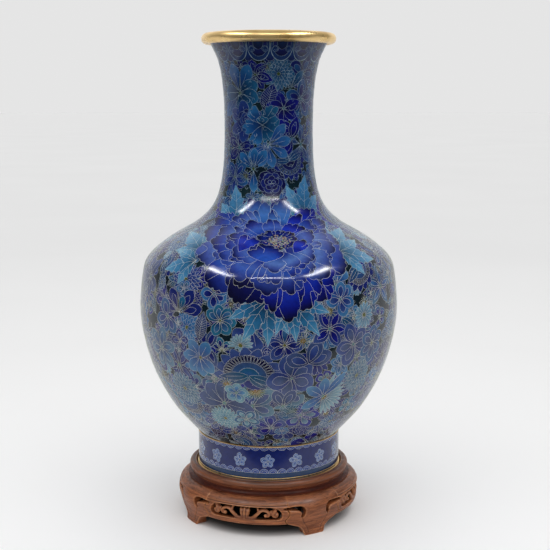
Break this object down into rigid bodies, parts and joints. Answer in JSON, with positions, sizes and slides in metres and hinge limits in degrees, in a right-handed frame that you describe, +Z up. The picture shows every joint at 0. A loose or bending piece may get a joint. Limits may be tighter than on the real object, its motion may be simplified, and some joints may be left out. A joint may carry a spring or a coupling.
{
  "type": "cloisonne vase on a carved stand",
  "caption": "Bottle-shaped enamelled metal vase with a gilt rolled lip and a straight foot, resting in the ring of a low pierced hardwood stand.",
  "frame": {"origin": "on the axis of the vase and the stand, in the plane of the soles of the stand's legs", "axes": "+Z up along the axis of the vase, -Y towards the front"},
  "size_m": [0.1804, 0.1804, 0.3368],
  "materials": {
    "enamel": "polished fused enamel, blue and teal flowers between fine wires",
    "lining_enamel": "plain turquoise-blue counter-enamel, unpolished gloss",
    "copper": "bare copper sheet under the enamel",
    "gilt": "gilded, soft polish with small dark pits",
    "rosewood": "satin waxed rosewood, reddish brown with dark grooves",
    "bamboo": "plain split bamboo"
  },
  "bodies": {
    "stand": {"stand_deck": "rosewood", "stand_top_ring": "rosewood", "stand_waist": "rosewood", "leg_1": "rosewood", "leg_2": "rosewood", "leg_3": "rosewood", "leg_4": "rosewood", "apron_panel_1": "rosewood", "apron_panel_2": "rosewood", "apron_panel_3": "rosewood", "apron_panel_4": "rosewood", "pin_1": "bamboo", "pin_2": "bamboo", "pin_3": "bamboo", "pin_4": "bamboo", "pin_5": "bamboo", "pin_6": "bamboo", "pin_7": "bamboo", "pin_8": "bamboo"},
    "vase": {"lip_ring": "gilt", "neck_shell": "copper", "shoulder_shell": "copper", "belly_shell": "copper", "foot_band": "copper", "base_plate": "copper", "foot_rim": "gilt", "enamel_body": "enamel", "enamel_neck_border": "enamel", "enamel_foot": "enamel", "enamel_base": "enamel", "enamel_lining": "lining_enamel", "wire_neck_border": "gilt", "wire_foot_top": "gilt", "wire_foot_bottom": "gilt"}
  },
  "joints": [
    {"name": "vase_lift", "type": "slide", "parent": "stand", "child": "vase", "axis": [0, 0, 1], "range_m": [0, 0.08]}
  ]
}
